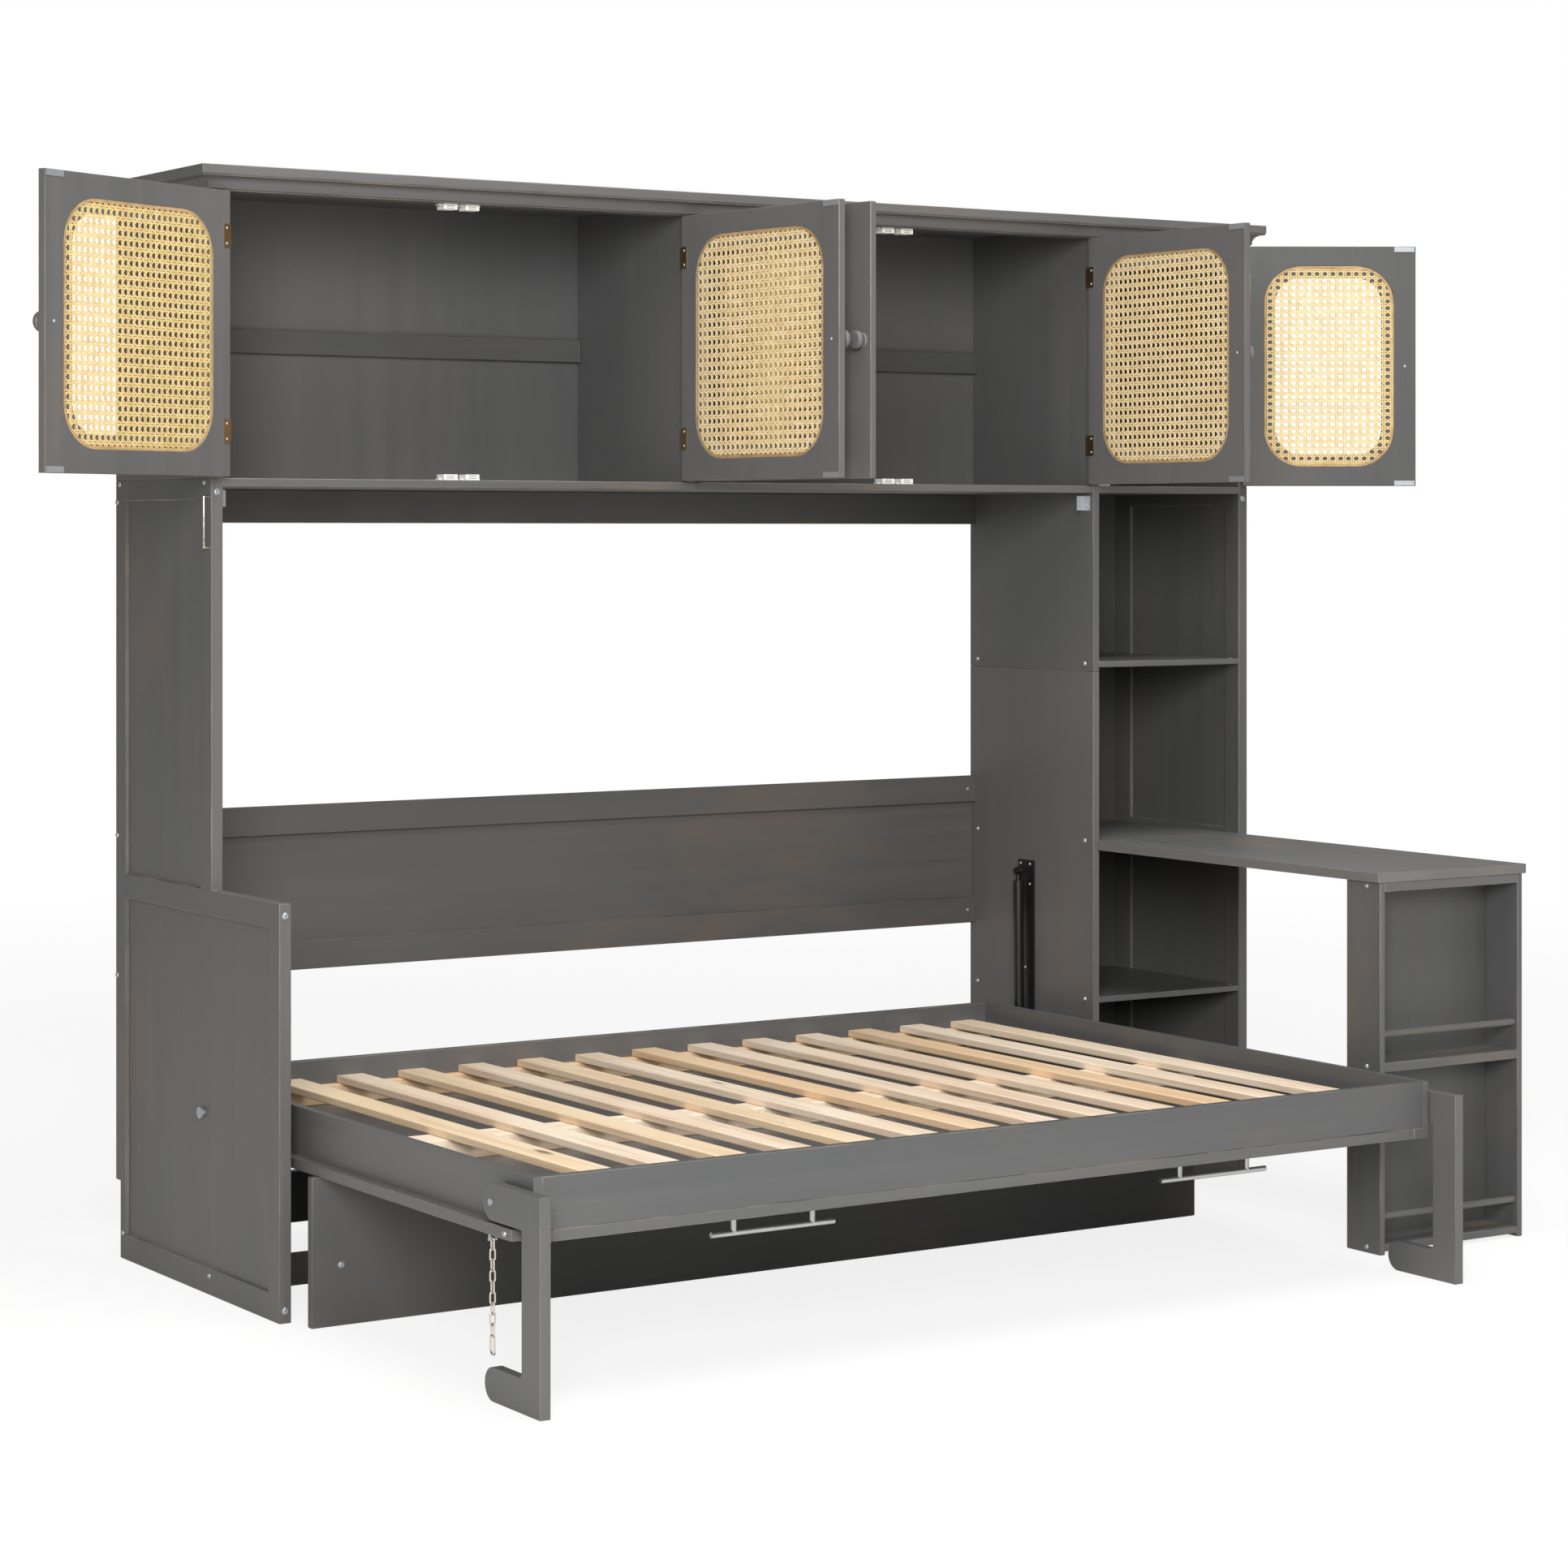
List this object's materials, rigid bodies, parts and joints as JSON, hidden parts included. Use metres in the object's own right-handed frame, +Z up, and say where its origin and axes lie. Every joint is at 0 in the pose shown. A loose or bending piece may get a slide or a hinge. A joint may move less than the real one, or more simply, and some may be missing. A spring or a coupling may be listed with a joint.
{
  "type": "wall bed with shelf tower and desk",
  "caption": "Horizontal bed that folds up into a wall cabinet with cane-fronted cupboards, an open shelf tower, a fixed desk on a narrow bookcase leg, folding legs and gas springs",
  "frame": {"origin": "on the floor under the middle of the plinth rail between the left panel and the tower wall", "axes": "+X along the wall to the right as seen from the room, +Y towards the wall, +Z up"},
  "size_m": [3.2611, 1.649, 2.12],
  "materials": {
    "painted_wood": "grey stain rubbed thin at the edges, satin",
    "painted_back": "dark grey stain, satin",
    "pale_wood": "bare sanded softwood",
    "woven_cane": "natural woven cane with a reed spline",
    "zinc": "zinc plated",
    "brushed_steel": "brushed",
    "black_metal": "black enamel, semi-gloss",
    "brass": "yellow passivated",
    "white_plastic": "moulded, satin"
  },
  "bodies": {
    "cabinet": {"side_panel_left": "painted_wood", "side_panel_right": "painted_wood", "tower_wall": "painted_wood", "box_floors": "painted_wood", "box_dividers": "painted_wood", "box_sides": "painted_wood", "box_top": "painted_wood", "cornice": "painted_wood", "box_top_rail": "painted_wood", "box_back": "painted_back", "tower_back": "painted_back", "rear_rails": "painted_wood", "rear_panel": "painted_wood", "plinth_rail": "painted_wood", "tower_shelves": "painted_wood", "desk_board": "painted_wood", "bookcase_sides": "painted_wood", "bookcase_back": "painted_back", "bookcase_shelves": "painted_wood", "bookcase_rods": "painted_wood", "corner_brackets": "zinc", "magnet_catches": "white_plastic", "cabinet_bolts": "zinc", "hinge_leaves": "brass", "spring_plates": "black_metal", "pivot_bolts": "zinc", "chain_staple": "zinc"},
    "bed": {"bed_side_rails": "painted_wood", "bed_end_rails": "painted_wood", "bed_underside": "painted_wood", "bed_lips": "painted_wood", "bed_slats": "pale_wood", "slat_supports": "pale_wood", "desk_leaf": "painted_wood", "bar_handles": "brushed_steel", "bed_pivot_plates": "black_metal", "bed_bolts": "zinc"},
    "leg_left": {"leg_left": "painted_wood"},
    "leg_right": {"leg_right": "painted_wood"},
    "chain": {"hook_chain": "zinc"},
    "cylinder_left": {"spring_cylinder_left": "black_metal"},
    "cylinder_right": {"spring_cylinder_right": "black_metal"},
    "rod_left": {"spring_rod_left": "brushed_steel"},
    "rod_right": {"spring_rod_right": "brushed_steel"},
    "door_1": {"door_1_frame": "painted_wood", "door_1_cane": "woven_cane", "door_1_hardware": "brass"},
    "door_2": {"door_2_frame": "painted_wood", "door_2_cane": "woven_cane", "door_2_hardware": "brass"},
    "door_3": {"door_3_frame": "painted_wood", "door_3_cane": "woven_cane", "door_3_hardware": "brass"},
    "door_4": {"door_4_frame": "painted_wood", "door_4_cane": "woven_cane", "door_4_hardware": "brass"},
    "door_5": {"door_5_frame": "painted_wood", "door_5_cane": "woven_cane", "door_5_hardware": "brass"}
  },
  "joints": [
    {"name": "bed_fold", "type": "hinge", "parent": "cabinet", "child": "bed", "pos_m": [0, 0.0365, 0.3373], "axis": [-1, 0, 0], "range_deg": [0, 86]},
    {"name": "leg_left_fold", "type": "hinge", "parent": "bed", "child": "leg_left", "pos_m": [-1.001, -1.0375, 0.3285], "axis": [-1, 0, 0], "range_deg": [0, 180]},
    {"name": "leg_right_fold", "type": "hinge", "parent": "bed", "child": "leg_right", "pos_m": [0.987, -1.0375, 0.3285], "axis": [-1, 0, 0], "range_deg": [0, 180]},
    {"name": "chain_swing", "type": "hinge", "parent": "bed", "child": "chain", "pos_m": [-0.997, -1.015, 0.262], "axis": [-1, 0, 0], "range_deg": [-90, 15]},
    {"name": "spring_left_swing", "type": "hinge", "parent": "cabinet", "child": "cylinder_left", "pos_m": [-1.007, 0.235, 0.676], "axis": [-1, 0, 0], "range_deg": [0, 20]},
    {"name": "spring_left_slide", "type": "slide", "parent": "cylinder_left", "child": "rod_left", "axis": [0, -0.0116, -0.9999], "range_m": [0, 0.24]},
    {"name": "spring_right_swing", "type": "hinge", "parent": "cabinet", "child": "cylinder_right", "pos_m": [1.007, 0.235, 0.676], "axis": [-1, 0, 0], "range_deg": [0, 20]},
    {"name": "spring_right_slide", "type": "slide", "parent": "cylinder_right", "child": "rod_right", "axis": [0, -0.0116, -0.9999], "range_m": [0, 0.24]},
    {"name": "door_1_swing", "type": "hinge", "parent": "cabinet", "child": "door_1", "pos_m": [-1.029, -0.0135, 1.805], "axis": [0, 0, -1], "range_deg": [-154, 16]},
    {"name": "door_2_swing", "type": "hinge", "parent": "cabinet", "child": "door_2", "pos_m": [-0.0085, -0.0135, 1.805], "axis": [0, 0, 1], "range_deg": [-95.5, 0]},
    {"name": "door_3_swing", "type": "hinge", "parent": "cabinet", "child": "door_3", "pos_m": [0.0085, -0.0135, 1.805], "axis": [0, 0, -1], "range_deg": [-80, 0]},
    {"name": "door_4_swing", "type": "hinge", "parent": "cabinet", "child": "door_4", "pos_m": [1.029, -0.0135, 1.805], "axis": [0, 0, 1], "range_deg": [-92, 10]},
    {"name": "door_5_swing", "type": "hinge", "parent": "cabinet", "child": "door_5", "pos_m": [1.44, -0.0135, 1.805], "axis": [0, 0, 1], "range_deg": [-148, 12]}
  ],
  "couplings": [
    {"joint": "spring_left_swing", "follows": "bed_fold", "ratio": 0.22279},
    {"joint": "spring_left_slide", "follows": "bed_fold", "m_per_rad": 0.1471},
    {"joint": "spring_right_swing", "follows": "bed_fold", "ratio": 0.22279},
    {"joint": "spring_right_slide", "follows": "bed_fold", "m_per_rad": 0.1471}
  ]
}
